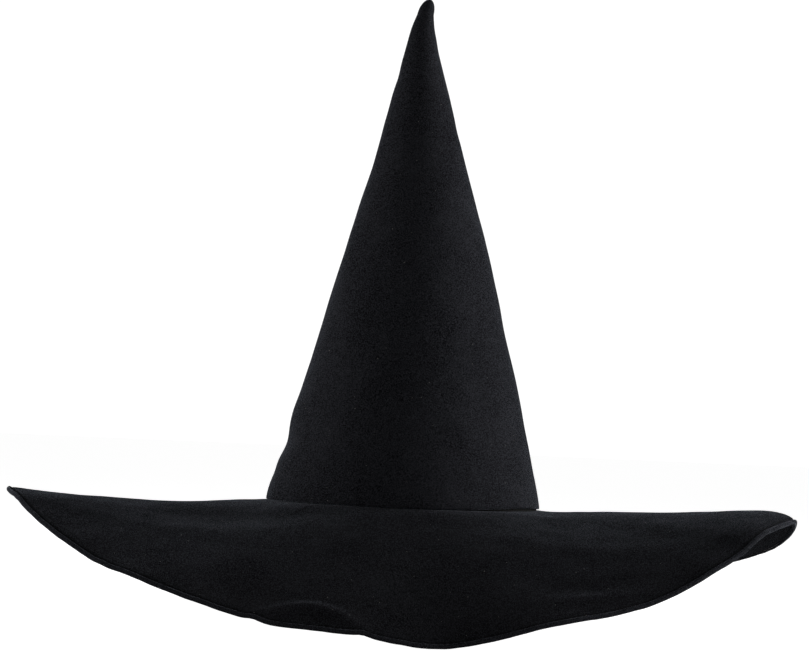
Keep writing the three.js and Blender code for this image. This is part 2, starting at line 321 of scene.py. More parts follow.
def lint_group():
    """Sparse specks of pale lint caught in the nap."""
    group, given, result = effect_group(
        "lint_specks", [("Place", "Vector", None), ("Spacing", "Float", 90.0), ("Size", "Float", 0.03)],
        [("Mask", "Float")],
    )
    cells = node(
        group, "TexVoronoi",
        {"Vector": given.outputs["Place"], "Scale": given.outputs["Spacing"], "Randomness": 1.0},
    )
    chance = node(group, "SeparateColor", {"Color": cells.outputs["Color"]})
    size = node(
        group, "Math", {0: chance.outputs["Red"], 1: given.outputs["Size"]}, operation="MULTIPLY"
    )
    speck = node(group, "Math", {0: cells.outputs["Distance"], 1: size.outputs["Value"]}, operation="LESS_THAN")
    kept = node(group, "Math", {0: chance.outputs["Green"], 1: 0.35}, operation="GREATER_THAN")
    mask = node(group, "Math", {0: speck.outputs["Value"], 1: kept.outputs["Value"]}, operation="MULTIPLY")
    group.links.new(mask.outputs["Value"], result.inputs["Mask"])
    return group


def new_material(name):
    """An empty node material with its output, shader and object coordinates."""
    material = bpy.data.materials.new(name)
    material.use_nodes = True
    tree = material.node_tree
    shader = next(n for n in tree.nodes if n.type == "BSDF_PRINCIPLED")
    place = tree.nodes.new("ShaderNodeTexCoord").outputs["Object"]
    return material, tree, shader, place


BRUSHED_NAP = brushed_nap_group()
LINT = lint_group()


def black_felt(name, nap_sheen, raised):
    """Black brushed cloth: no gloss, and a short nap that catches light at a slant."""
    material, tree, shader, place = new_material(name)
    nap = node(
        tree, "Group",
        node_tree=BRUSHED_NAP,
    )
    tree.links.new(place, nap.inputs["Place"])
    nap.inputs["Deep"].default_value = (0.0006, 0.0006, 0.0008, 1)
    nap.inputs["Raised"].default_value = raised
    nap.inputs["Clouding"].default_value = 0.22
    lint = node(tree, "Group", node_tree=LINT)
    tree.links.new(place, lint.inputs["Place"])
    lint.inputs["Spacing"].default_value = 200
    lint.inputs["Size"].default_value = 0.07
    specked = node(
        tree, "Mix",
        {"Factor": lint.outputs["Mask"], "A": nap.outputs["Color"], "B": (0.16, 0.155, 0.145, 1)},
        data_type="RGBA",
    )
    tree.links.new(specked.outputs["Result"], shader.inputs["Base Color"])
    bump = node(tree, "Bump", {"Strength": 0.55, "Distance": 0.35 * MM, "Height": nap.outputs["Height"]})
    tree.links.new(bump.outputs["Normal"], shader.inputs["Normal"])
    shader.inputs["Roughness"].default_value = 0.92
    shader.inputs["Specular IOR Level"].default_value = 0.0
    sheen = node(tree, "MapRange", {"Value": nap.outputs["Mask"], "To Min": 0.2 * nap_sheen, "To Max": nap_sheen})
    tree.links.new(sheen.outputs["Result"], shader.inputs["Sheen Weight"])
    shader.inputs["Sheen Roughness"].default_value = 0.25
    shader.inputs["Sheen Tint"].default_value = (0.80, 0.86, 1.0, 1)
    return material


# The brim gets the crown's cloth with less sheen and a darker colour; the darker colour is painted shade that keeps
# the brim's upward-facing top from reading lighter than the crown
CROWN_FELT = black_felt("brushed_black_felt", 0.31, (0.0290, 0.0300, 0.0350, 1))
SHADED_BRIM_FELT = black_felt("black_felt_painted_darker", 0.16, (0.0185, 0.0190, 0.0216, 1))

BRIM_TURNS = 360
SEAM_LINE = 7.5 * MM
PINCH_REACH = 4.5 * MM
PINCH = 0.69 * MM


def pinched(cut_radius, lift, towards):
    """The lift of a layer near its end, where the stitching pulls the layers together, and at the seam line."""
    from_edge = ROLL_CENTRE + ROLL_RADIUS - cut_radius
    near = max(0.0, 1 - (from_edge - 2 * ROLL_RADIUS) / PINCH_REACH)
    groove = 0.10 * MM * exp(-(((from_edge - SEAM_LINE) / (0.8 * MM)) ** 2))
    return lift + towards * (PINCH * near**2 + groove)


def ring_radii(inner, outer, pitch):
    """Radii from the hole to the edge, closer together over the stitched edge."""
    close = outer - 9 * MM
    wide_steps = round((close - BASE_RADIUS) / pitch)
    wide = [BASE_RADIUS + (close - BASE_RADIUS) * i / wide_steps for i in range(wide_steps)]
    return [inner] + wide + [close + 9 * MM * i / 18 for i in range(19)]


def brim_cloth(top, seen_above):
    """A closed ring of brim cloth with its seen side finely divided."""
    radii_seen = ring_radii(BRIM_HOLE, BRIM_END, 2.6 * MM)
    radii_hidden = ring_radii(BRIM_HOLE, BRIM_END, 5 * MM)
    over_radii, under_radii = (radii_seen, radii_hidden) if seen_above else (radii_hidden, radii_seen)
    towards = -1 if seen_above else 1
    over = [(r, pinched(r, top, towards)) for r in over_radii]
    under = [(r, pinched(r, top - BRIM_CLOTH, towards)) for r in under_radii]
    return lay_on_brim(spun(under + over[::-1], BRIM_TURNS))


brim_top = sewn_piece("brim_upper_cloth", brim_cloth(0, True), SHADED_BRIM_FELT)
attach(brim_top, "hat")
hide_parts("brim_top")


# ---- Brim stiffening ----
# A ring of stiff open-weave interlining between the two cloths. It stops short of the edge, so the two cloths
# can be drawn together and sewn into the roll.

STIFFENING = 0.8 * MM
STIFFENING_TOP = -BRIM_CLOTH - LAYER_GAP
STIFFENING_END = BRIM_END - 5 * MM


def woven_group():
    """A plain weave of two crossing sets of threads: its height, and a mask of the threads."""
    group, given, result = effect_group(
        "plain_weave", [("Along", "Float", 0.0), ("Across", "Float", 0.0), ("Threads", "Float", 1000.0)],
        [("Height", "Float"), ("Mask", "Float")],
    )
    waves = []
    for label in ("Along", "Across"):
        scaled = node(
            group, "Math", {0: given.outputs[label], 1: given.outputs["Threads"]}, operation="MULTIPLY"
        )
        wave = node(group, "Math", {0: scaled.outputs["Value"]}, operation="SINE")
        waves.append(node(group, "Math", {0: wave.outputs["Value"]}, operation="ABSOLUTE"))
    height = node(
        group, "Math", {0: waves[0].outputs["Value"], 1: waves[1].outputs["Value"]}, operation="MULTIPLY"
    )
    mask = node(
        group, "Math", {0: height.outputs["Value"], 1: 0.12}, operation="GREATER_THAN"
    )
    group.links.new(height.outputs["Value"], result.inputs["Height"])
    group.links.new(mask.outputs["Value"], result.inputs["Mask"])
    return group


PLAIN_WEAVE = woven_group()


def stiff_interlining():
    """Near-black interlining with open squares between its threads: its own black, darkened further as painted
    shade where it shows in the gap under the crown's lifted foot.
    """
    material, tree, shader, place = new_material("stiff_interlining")
    axes = node(tree, "SeparateXYZ", {"Vector": place})
    weave = node(tree, "Group", node_tree=PLAIN_WEAVE)
    tree.links.new(axes.outputs["X"], weave.inputs["Along"])
    tree.links.new(axes.outputs["Y"], weave.inputs["Across"])
    weave.inputs["Threads"].default_value = 1800
    # Near-black thread colours: the cloth's own black, darker still as painted shade for the gap under the crown's
    # foot
    colour = node(
        tree, "Mix",
        {"Factor": weave.outputs["Mask"], "A": (0.001, 0.001, 0.001, 1), "B": (0.007, 0.007, 0.007, 1)},
        data_type="RGBA",
    )
    bump = node(tree, "Bump", {"Strength": 0.5, "Distance": 0.3 * MM, "Height": weave.outputs["Height"]})
    tree.links.new(colour.outputs["Result"], shader.inputs["Base Color"])
    tree.links.new(bump.outputs["Normal"], shader.inputs["Normal"])
    shader.inputs["Roughness"].default_value = 0.85
    shader.inputs["Specular IOR Level"].default_value = 0.05
    return material


STIFF_INTERLINING = stiff_interlining()


def brim_stiffening():
    radii = [BRIM_HOLE] + [BASE_RADIUS + (STIFFENING_END - BASE_RADIUS) * i / 34 for i in range(35)]
    over = [(r, STIFFENING_TOP) for r in radii]
    under = [(r, STIFFENING_TOP - STIFFENING) for r in radii]
    return lay_on_brim(spun(under + over[::-1], BRIM_TURNS // 2))


brim_stiffener = sewn_piece("brim_stiffening", brim_stiffening(), STIFF_INTERLINING)
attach(brim_stiffener, "hat")
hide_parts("brim_stiffener")


# ---- Brim, lower cloth ----
# The same ring cut again for the underside, its brushed face downwards.

UNDER_TOP = STIFFENING_TOP - STIFFENING - LAYER_GAP
BRIM_UNDERSIDE = UNDER_TOP - BRIM_CLOTH

brim_under = sewn_piece("brim_under_cloth", brim_cloth(UNDER_TOP, False), SHADED_BRIM_FELT)
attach(brim_under, "hat")
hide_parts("brim_under")


# ---- Rolled edge ----
# A narrow strip of the same cloth rolled tight round the wire and sewn shut against the ends of the two cloths.
# Its seam makes the ditch just inside the edge; the long black stitches laid in the ditch darken it as painted
# shade.

ROLL_TURNS = 480
ROLL_CLOTH = 0.4 * MM
ROLL_SLIT = 40
ROLL_CORNERS = 15


def edge_placed(bearing, across, above):
    """A point in the upright section of the roll at a bearing."""
    place, outward, _, square = brim_frame(ROLL_CENTRE, bearing)
    return place + square * (ROLL_LIFT + above) + outward * across


def lay_on_edge(bm):
    """Moves a section spun round the roll's own centre line to where the edge lies."""
    frames = {}
    for vert in bm.verts:
        bearing = round(bearing_of(vert.co), 3)
        if bearing not in frames:
            centre = edge_placed(bearing, 0, 0)
            frames[bearing] = centre, edge_placed(bearing, 1, 0) - centre, edge_placed(bearing, 0, 1) - centre
        centre, outward, square = frames[bearing]
        across = hypot(vert.co.x, vert.co.y) - ROLL_CENTRE
        vert.co = centre + outward * across + square * vert.co.z
    return bm


def arc_section(radius, slit, corners):
    """Corners round a circle on the roll's centre line, leaving a slit towards the brim."""
    angles = [radians(-180 + slit + (360 - 2 * slit) * i / (corners - 1)) for i in range(corners)]
    return [(ROLL_CENTRE + radius * cos(a), radius * sin(a)) for a in angles]


def rolled_edge():
    outside = arc_section(ROLL_RADIUS, ROLL_SLIT, ROLL_CORNERS)
    inside = arc_section(ROLL_RADIUS - ROLL_CLOTH, ROLL_SLIT, ROLL_CORNERS)
    bm = lay_on_edge(spun(outside + inside[::-1], ROLL_TURNS))
    for vert in bm.verts:
        vert.co += Vector((0, 0, 0.12 * MM * noise.noise(vert.co * 160)))
    return bm


edge_roll = sewn_piece("brim_rolled_edge", rolled_edge(), CROWN_FELT)
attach(edge_roll, "hat")
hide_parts("brim_edge_binding")


# ---- Edge wire ----
# One length of round spring steel wire, bent by hand to the brim's shape, its two ends meeting at the back.

WIRE_RADIUS = 0.6 * MM
WIRE_END_GAP = 0.1


def swept_round_edge(rings, start, end, steps):
    """Sweeps circles of the given radii along the edge from one bearing to another and closes the ends."""
    bm = bmesh.new()
    for radius in rings:
        upright = Matrix.Translation((ROLL_CENTRE, 0, 0)) @ Matrix.Rotation(pi / 2, 4, "X")
        circle = bmesh.ops.create_circle(bm, segments=12, radius=radius, matrix=upright)["verts"]
        edges = list({edge for vert in circle for edge in vert.link_edges})
        bmesh.ops.rotate(bm, cent=(0, 0, 0), matrix=Matrix.Rotation(radians(start - 90), 3, "Z"), verts=circle)
        turn = {"cent": (0, 0, 0), "axis": (0, 0, 1), "angle": radians(end - start), "steps": steps}
        bmesh.ops.spin(bm, geom=circle + edges, **turn)
    open_edges = [edge for edge in bm.edges if edge.is_boundary]
    if len(rings) == 1:
        bmesh.ops.holes_fill(bm, edges=open_edges, sides=0)
    else:
        for at in (start, end):
            near = [e for e in open_edges if abs((bearing_of(e.verts[0].co) - at + 180) % 360 - 180) < 0.2]
            bmesh.ops.bridge_loops(bm, edges=near)
    return lay_on_edge(bm)


def drawn_steel():
    """Bright steel wire with fine lines drawn along it."""
    material, tree, shader, place = new_material("drawn_steel")
    scratch = node(tree, "TexNoise", {"Vector": place, "Scale": 700, "Detail": 3, "Roughness": 0.6})
    rough = node(
        tree, "MapRange", {"Value": scratch.outputs["Fac"], "To Min": 0.22, "To Max": 0.45}
    )
    tree.links.new(rough.outputs["Result"], shader.inputs["Roughness"])
    colour = node(
        tree, "Mix",
        {"Factor": scratch.outputs["Fac"], "A": (0.42, 0.42, 0.43, 1), "B": (0.62, 0.62, 0.61, 1)},
        data_type="RGBA",
    )
    tree.links.new(colour.outputs["Result"], shader.inputs["Base Color"])
    shader.inputs["Metallic"].default_value = 1
    return material


edge_wire = sewn_piece(
    "edge_wire", swept_round_edge([WIRE_RADIUS], -180 + WIRE_END_GAP, 180 - WIRE_END_GAP, 360), drawn_steel()
)
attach(edge_wire, "hat")
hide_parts("brim_wire")


# ---- Wire joiner ----
# A short brass sleeve pushed over the two ends of the wire and nipped flat at both ends.

JOINER_LENGTH = 26 * MM
JOINER_RADIUS = 0.95 * MM
JOINER_BORE = 0.68 * MM


def plain_brass():
    """Dull brass with darker stains."""
    material, tree, shader, place = new_material("plain_brass")
    stain = node(tree, "TexNoise", {"Vector": place, "Scale": 400, "Detail": 4, "Roughness": 0.7})
    colour = node(
        tree, "Mix",
        {"Factor": stain.outputs["Fac"], "A": (0.45, 0.30, 0.10, 1), "B": (0.72, 0.52, 0.22, 1)},
        data_type="RGBA",
    )
    tree.links.new(colour.outputs["Result"], shader.inputs["Base Color"])
    shader.inputs["Metallic"].default_value = 1
    shader.inputs["Roughness"].default_value = 0.38
    return material


joiner_half = degrees(JOINER_LENGTH / 2 / ROLL_CENTRE)
joiner = sewn_piece(
    "wire_joiner_sleeve",
    swept_round_edge([JOINER_RADIUS, JOINER_BORE], 180 - joiner_half, 180 + joiner_half, 10),
    plain_brass(),
)
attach(joiner, "hat")
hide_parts("wire_joiner")


# ---- Edge stitching ----
# A row of black thread round the brim, in the ditch beside the roll, which holds the wire in. Each stitch shows
# above and below. The stitches run long and close together, so the black thread also lays painted shade along the
# ditch.

THREAD_RADIUS = 0.26 * MM
# Long stitches close together: the black thread reads as an almost unbroken dark line, painted shade along the
# ditch
STITCH_LENGTH = 3.5 * MM
STITCH_PITCH = 4.0 * MM
DITCH_LINE = 2 * ROLL_RADIUS + 1.0 * MM


def black_thread():
    """Spun polyester thread with the slant lines of its twist."""
    material, tree, shader, place = new_material("black_thread")
    twist = node(
        tree, "TexWave", {"Vector": place, "Scale": 900, "Distortion": 1.5, "Detail": 1}, wave_type="BANDS",
        bands_direction="DIAGONAL",
    )
    colour = node(
        tree, "Mix",
        {"Factor": twist.outputs["Fac"], "A": (0.002, 0.002, 0.002, 1), "B": (0.007, 0.007, 0.008, 1)},
        data_type="RGBA",
    )
    tree.links.new(colour.outputs["Result"], shader.inputs["Base Color"])
    shader.inputs["Roughness"].default_value = 0.8
    shader.inputs["Specular IOR Level"].default_value = 0.04
    return material


BLACK_THREAD = black_thread()


def row_of_stitches(radius, level, start, end, pitch, length):
    """Copies of one stitch, a short thread with tapered ends, spun round the hat's axis."""
    bm = bmesh.new()
    count = round(radians(end - start) * radius / pitch)
    shape = (
        Matrix.Rotation(radians(start - 90), 4, "Z")
        @ Matrix.Translation((radius, 0, level))
        @ Matrix.Diagonal((THREAD_RADIUS, length / 2, THREAD_RADIUS, 1))
        @ Matrix.Rotation(pi / 2, 4, "X")
    )
    bmesh.ops.create_uvsphere(bm, u_segments=6, v_segments=5, radius=1, matrix=shape)
    turn = {"cent": (0, 0, 0), "axis": (0, 0, 1), "angle": radians(end - start) * (count - 1) / count}
    one = list(bm.verts) + list(bm.edges) + list(bm.faces)
    bmesh.ops.spin(bm, geom=one, steps=count - 1, use_duplicate=True, **turn)
    return bm


def joined(parts):
    """One bmesh of several."""
    whole, carrier = bmesh.new(), bpy.data.meshes.new("carrier")
    for part in parts:
        part.to_mesh(carrier)
        part.free()
        whole.from_mesh(carrier)
    bpy.data.meshes.remove(carrier)
    return whole


def edge_stitches(from_edge, above, below):
    cut_radius = ROLL_CENTRE + ROLL_RADIUS - from_edge
    rows = [row_of_stitches(cut_radius, lift, -180, 180, STITCH_PITCH, STITCH_LENGTH) for lift in (above, below)]
    return lay_on_brim(joined(rows))


ditch_radius = ROLL_CENTRE + ROLL_RADIUS - DITCH_LINE
ditch_above = pinched(ditch_radius, 0, -1)
ditch_below = pinched(ditch_radius, BRIM_UNDERSIDE, 1)
ditch_row = sewn_piece(
    "edge_ditch_stitches", edge_stitches(DITCH_LINE, ditch_above, ditch_below), BLACK_THREAD
)
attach(ditch_row, "hat")


# ---- Crown cloth ----
# One fan-shaped piece of the brushed cloth sewn into a tall cone up the back, its blunt tip turned in. It stands
# on the stiffening below and is loose above it, where it leans and wrinkles.

TIP_HEIGHT = 355 * MM
CONE_APEX = 364 * MM
CONE_SLOPE = tan(radians(14.8))
CROWN_CLOTH = 1.0 * MM
CROWN_TURNS = 288
NAP_DEPTH = 0.8 * MM
DOME_START = 344 * MM
WAIST_START = 190 * MM
WAIST_DEPTH = 1.4 * MM
BOW_HEIGHT = 310 * MM
LEAN_START = 332 * MM


def crown_radius(height):
    """The outside of the crown, up to where the tip rounds over."""
    cone = (CONE_APEX - height) * CONE_SLOPE
    tuck = (CONE_APEX * CONE_SLOPE - BASE_RADIUS) * exp(-max(height, 0) / (8 * MM))
    up = min(1, max(0, (height - WAIST_START) / (TIP_HEIGHT - WAIST_START)))
    return cone - tuck - WAIST_DEPTH * sin(pi * up)


def crown_centre(height):
    """How far the crown's middle stands to +X: a slow bow, and the lean of the very tip."""
    bow = 2.6 * MM * sin(pi * min(1, max(0, height / BOW_HEIGHT)))
    lean = max(0, (height - LEAN_START) / (TIP_HEIGHT - LEAN_START))
    return bow + 3.7 * MM * lean**1.5


# Dents and slack places: (bearing, height, reach in degrees, reach up and down, depth)
CROWN_DENTS = [
    (-90, 40 * MM, 26, 11 * MM, -2.9 * MM),
    (-84, 63 * MM, 24, 9 * MM, 0.5 * MM),
    (-86, 19 * MM, 26, 6 * MM, -1.2 * MM),
    (38, 78 * MM, 9, 26 * MM, -1.3 * MM),
    (52, 74 * MM, 9, 30 * MM, 0.9 * MM),
    (88, 118 * MM, 18, 20 * MM, -0.7 * MM),
    (-30, 150 * MM, 22, 50 * MM, -0.8 * MM),
    (12, 230 * MM, 26, 30 * MM, -0.6 * MM),
    (-95, 238 * MM, 24, 14 * MM, -0.6 * MM),
    (92, 262 * MM, 22, 9 * MM, -0.6 * MM),
    (-75, 300 * MM, 30, 7 * MM, -0.7 * MM),
    (60, 318 * MM, 40, 6 * MM, -0.6 * MM),
    (140, 60 * MM, 16, 26 * MM, -1.4 * MM),
    (-140, 110 * MM, 18, 30 * MM, -1.2 * MM),
]


def crown_dent(height, bearing):
    """How far the cloth stands out from a true cone."""
    depth = 0
    for middle, level, reach, rise, amount in CROWN_DENTS:
        turn = (bearing - middle + 180) % 360 - 180
        depth += amount * exp(-((turn / reach) ** 2) - ((height - level) / rise) ** 2)
    angle = radians(bearing)
    radius = max(0.01, crown_radius(height))
    spot = Vector((radius * sin(angle), radius * cos(angle), height))
    soft = 0.75 * MM * noise.noise(spot * 17) + 0.22 * MM * noise.noise(spot * 60)
    foot = 0.35 * MM * noise.noise(spot * 110) * exp(-height / (7 * MM))
    held = min(1, max(0.1, height / (25 * MM)))
    slack = min(1, (TIP_HEIGHT - height) / (60 * MM))
    return (depth + soft * slack) * held + foot


def back_seam(height, bearing):
    """The closed seam up the back: a fine groove between two soft ridges of turned-in cloth."""
    turn = (bearing + 360) % 360 - 180
    across = radians(turn) * max(crown_radius(height), 4 * MM)
    groove = -0.7 * MM * exp(-((across / (1.3 * MM)) ** 2))
    ridges = 0.45 * MM * exp(-(((abs(across) - 4.5 * MM) / (2.2 * MM)) ** 2))
    closing = min(1, max(0, (TIP_HEIGHT - height) / (40 * MM)))
    return (groove + ridges) * closing


def settle_on_crown(bm, seamed=False, extra=None):
    """Moves what was spun true to where the worn crown stands."""
    for vert in bm.verts:
        height, radius = vert.co.z, hypot(vert.co.x, vert.co.y)
        if radius > 1e-7:
            bearing = bearing_of(vert.co)
            near_axis = min(1, radius / (5 * MM))
            out = crown_dent(height, bearing) * near_axis
            if seamed:
                out += back_seam(height, bearing) * near_axis
            if extra:
                out += extra(height, bearing)
            vert.co.x *= (radius + out) / radius
            vert.co.y *= (radius + out) / radius
        vert.co.x += crown_centre(height)
    return bm


def heights(low, high, pitch):
    count = max(1, round((high - low) / pitch))
    return [low + (high - low) * i / count for i in range(count + 1)]


def dome(inset):
    """The rounded top of the tip, from its shoulder to the axis."""
    shoulder, rise = crown_radius(DOME_START) - inset, TIP_HEIGHT - DOME_START - max(0, inset)
    angles = [radians(90 * i / 8) for i in range(1, 9)]
    return [(shoulder * cos(a), DOME_START + rise * sin(a)) for a in angles]


def crown_foot_lift(bearing):
    """The foot stands a little off the brim to the front right, where the seam is slack."""
    turn = (bearing - 62 + 180) % 360 - 180
    return 2.0 * MM * exp(-((turn / 24) ** 2))


def crown_cloth():
    low = 0.35 * MM
    levels = heights(low + 1.2 * MM, DOME_START, 3.3 * MM)
    turned = [(crown_radius(low) - 0.6 * MM, low), (crown_radius(low) + 0.4 * MM, low + 0.3 * MM)]
    outside = turned + [(crown_radius(z) + NAP_DEPTH, z) for z in levels] + dome(-NAP_DEPTH)
    inner_levels = heights(low, DOME_START, 5 * MM)
    inside = [(crown_radius(z) - CROWN_CLOTH, z) for z in inner_levels] + dome(CROWN_CLOTH)
    bm = spun(outside[:-1] + [(0, TIP_HEIGHT), (0, TIP_HEIGHT - CROWN_CLOTH)] + inside[:-1][::-1], CROWN_TURNS)
    for vert in bm.verts:
        fade = exp(-vert.co.z / (5 * MM))
        vert.co.z += crown_foot_lift(bearing_of(vert.co)) * fade
    return settle_on_crown(bm, seamed=True)


crown = sewn_piece("crown_cloth", crown_cloth(), CROWN_FELT)
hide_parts("crown_shell", "crown_fold", "crown_tip")
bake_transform(crown)


# ---- Crown stiffening ----
# A cone of the same interlining that makes the crown stand, ending where the tip goes soft.

CROWN_STIFFENING = 1.2 * MM
CROWN_STIFFENING_DEPTH = CROWN_CLOTH + LAYER_GAP
CROWN_STIFFENING_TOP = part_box("crown_stiffener")[1][2]


def cone_layer(depth, thickness, levels, turns):
    outside = [(crown_radius(z) - depth, z) for z in levels]
    inside = [(crown_radius(z) - depth - thickness, z) for z in levels]
    return spun(outside + inside[::-1], turns)


crown_stiffener = sewn_piece(
    "crown_stiffening",
    settle_on_crown(
        cone_layer(
            CROWN_STIFFENING_DEPTH, CROWN_STIFFENING, heights(0, CROWN_STIFFENING_TOP, 5 * MM), 144
        ),
        seamed=True,
    ),
    STIFF_INTERLINING,
)
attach(crown_stiffener, "hat")
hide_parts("crown_stiffener")


# ---- Crown lining ----
# Thin black woven cloth, sewn in round the foot and gathered shut at its top, with loose upright pleats.

LINING_CLOTH = 0.5 * MM
LINING_DEPTH = CROWN_STIFFENING_DEPTH + CROWN_STIFFENING + LAYER_GAP
LINING_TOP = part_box("crown_lining")[1][2]
LINING_FOOT = 0.1 * MM


def lining_cloth():
    """Black woven lining with a slight sheen."""
    material, tree, shader, place = new_material("black_lining")
    axes = node(tree, "SeparateXYZ", {"Vector": place})
    round_hat = node(tree, "TexGradient", {"Vector": place}, gradient_type="RADIAL")
    arc = node(tree, "Math", {0: round_hat.outputs["Fac"], 1: 0.45}, operation="MULTIPLY")
    weave = node(tree, "Group", node_tree=PLAIN_WEAVE)
    tree.links.new(arc.outputs["Value"], weave.inputs["Along"])
    tree.links.new(axes.outputs["Z"], weave.inputs["Across"])
    weave.inputs["Threads"].default_value = 5200
    colour = node(
        tree, "Mix",
        {"Factor": weave.outputs["Height"], "A": (0.003, 0.003, 0.004, 1), "B": (0.012, 0.012, 0.015, 1)},
        data_type="RGBA",
    )
    bump = node(tree, "Bump", {"Strength": 0.35, "Distance": 0.1 * MM, "Height": weave.outputs["Height"]})
    tree.links.new(colour.outputs["Result"], shader.inputs["Base Color"])
    tree.links.new(bump.outputs["Normal"], shader.inputs["Normal"])
    shader.inputs["Roughness"].default_value = 0.48
    return material


BLACK_LINING = lining_cloth()


def lining_pleat(height, bearing):
    """Loose pleats, always inwards, that start over the sweatband and tighten towards the gathered top."""
    start = min(1, max(0, (height - 30 * MM) / (60 * MM)))
    angle = radians(bearing)
    wave = 0.5 + 0.5 * sin(11 * angle + 0.8 * sin(3 * angle) + 6 * height)
    finer = 0.5 + 0.5 * sin(26 * angle + 2 * sin(2 * angle))
    gathered = exp(-(LINING_TOP - height) / (25 * MM))
    return -(2.4 * MM * wave**2 * (1 - gathered) + 1.3 * MM * finer * gathered) * start


def crown_lining():
    levels = heights(LINING_FOOT, LINING_TOP - 3 * MM, 4 * MM)
    outside = [(crown_radius(z) - LINING_DEPTH, z) for z in levels]
    inside = [(r - LINING_CLOTH, z) for r, z in outside]
    top_rings = [0.8, 0.5, 0.2]
    brow = outside[-1][0]
    cap = [(brow * k, LINING_TOP - (1 - k) * 1.5 * MM) for k in top_rings]
    cap_inside = [(r, z - LINING_CLOTH) for r, z in cap]
    return spun(outside + cap + cap_inside[::-1] + inside[::-1], 216)


def gathered_lining():
    bm = settle_on_crown(crown_lining(), extra=lining_pleat)
    openings = [edge for edge in bm.edges if edge.is_boundary]
    bmesh.ops.holes_fill(bm, edges=openings, sides=0)
    return bm


lining = sewn_piece("crown_lining_cloth", gathered_lining(), BLACK_LINING)
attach(lining, "hat")
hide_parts("crown_lining")


# ---- Sweatband ----
# A strip of ribbed grosgrain ribbon sewn round the inside of the head opening along its lower edge. Its ends
# meet at the back, under a small tab.

SWEATBAND_DEPTH = 3.9 * MM
SWEATBAND_CLOTH = 0.8 * MM
SWEATBAND_LOW = BRIM_UNDERSIDE - 0.2 * MM
SWEATBAND_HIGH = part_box("sweatband")[1][2]
BAND_TURNS = 300


def grosgrain():
    """Black ribbon with close upright ribs."""
    material, tree, shader, place = new_material("black_grosgrain")
    round_hat = node(tree, "TexGradient", {"Vector": place}, gradient_type="RADIAL")
    turns = node(tree, "Math", {0: round_hat.outputs["Fac"], 1: 2 * pi * 640}, operation="MULTIPLY")
    wave = node(tree, "Math", {0: turns.outputs["Value"]}, operation="SINE")
    rib = node(tree, "Math", {0: wave.outputs["Value"]}, operation="ABSOLUTE")
    speck = node(tree, "TexNoise", {"Vector": place, "Scale": 1500, "Detail": 2})
    tone = node(tree, "Math", {0: rib.outputs["Value"], 1: speck.outputs["Fac"]}, operation="MULTIPLY")
    colour = node(
        tree, "Mix",
        {"Factor": tone.outputs["Value"], "A": (0.003, 0.003, 0.0035, 1), "B": (0.016, 0.016, 0.018, 1)},
        data_type="RGBA",
    )
    bump = node(tree, "Bump", {"Strength": 0.7, "Distance": 0.25 * MM, "Height": rib.outputs["Value"]})
    tree.links.new(colour.outputs["Result"], shader.inputs["Base Color"])
    tree.links.new(bump.outputs["Normal"], shader.inputs["Normal"])
    shader.inputs["Roughness"].default_value = 0.55
    return material


GROSGRAIN = grosgrain()


def inside_band(depth, thickness, low, high, start, end, turns, shape=None):
    """A strip lying round the inside of the crown between two bearings, with closed ends."""
    levels = heights(low, high, 2 * MM)
    lean = [(crown_radius(max(0, z)) - depth, z) for z in levels]
    profile = lean + [(radius - thickness, z) for radius, z in lean[::-1]]
    bm = bmesh.new()
    corners = [bm.verts.new((radius, 0, z)) for radius, z in profile]
    bm.faces.new(corners)
    bmesh.ops.rotate(bm, cent=(0, 0, 0), matrix=Matrix.Rotation(radians(start - 90), 3, "Z"), verts=bm.verts)
    edges = list(bm.edges)
    bmesh.ops.delete(bm, geom=list(bm.faces), context="FACES_ONLY")
    turn = {"cent": (0, 0, 0), "axis": (0, 0, 1), "angle": radians(end - start), "steps": turns}
    bmesh.ops.spin(bm, geom=corners + edges, **turn)
    bmesh.ops.holes_fill(bm, edges=[edge for edge in bm.edges if edge.is_boundary], sides=0)
    for vert in bm.verts:
        radius = hypot(vert.co.x, vert.co.y)
        out = shape(vert.co.z, bearing_of(vert.co)) if shape else 0
        vert.co.x = vert.co.x * (radius + out) / radius + crown_centre(vert.co.z)
        vert.co.y *= (radius + out) / radius
    return bm


def band_slack(height, bearing):
    """The ribbon stands off the lining a little towards its free upper edge, in slow waves, always inwards."""
    up = min(1, max(0, (height - SWEATBAND_LOW) / (SWEATBAND_HIGH - SWEATBAND_LOW)))
    angle = radians(bearing)
    wave = 0.5 + 0.5 * sin(7 * angle + 1.5 * sin(2 * angle))
    return -1.1 * MM * up**2 * wave * min(1, abs(180 - bearing % 360) / 14)


sweatband = sewn_piece(
    "sweatband_ribbon",
    inside_band(
        SWEATBAND_DEPTH, SWEATBAND_CLOTH, SWEATBAND_LOW, SWEATBAND_HIGH, -179.6, 179.6, BAND_TURNS, band_slack
    ),
    GROSGRAIN,
)
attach(sweatband, "hat")
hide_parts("sweatband")

tab_low, tab_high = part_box("sweatband_join")
band_tab = sewn_piece(
    "sweatband_tab",
    inside_band(
        SWEATBAND_DEPTH + SWEATBAND_CLOTH + 0.3 * MM, 0.6 * MM, tab_low[2], tab_high[2], 173, 187, 14
    ),
    GROSGRAIN,
)
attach(band_tab, "hat")
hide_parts("sweatband_join")


def band_stitches(level, depth, start, end, pitch):
    """A row of stitches along the inside of the ribbon at one height."""
    radius = crown_radius(max(0, level)) - depth
    bm = row_of_stitches(radius, level, start, end, pitch, pitch * 0.7)
    bmesh.ops.translate(bm, vec=(crown_centre(level), 0, 0), verts=bm.verts)
    return bm


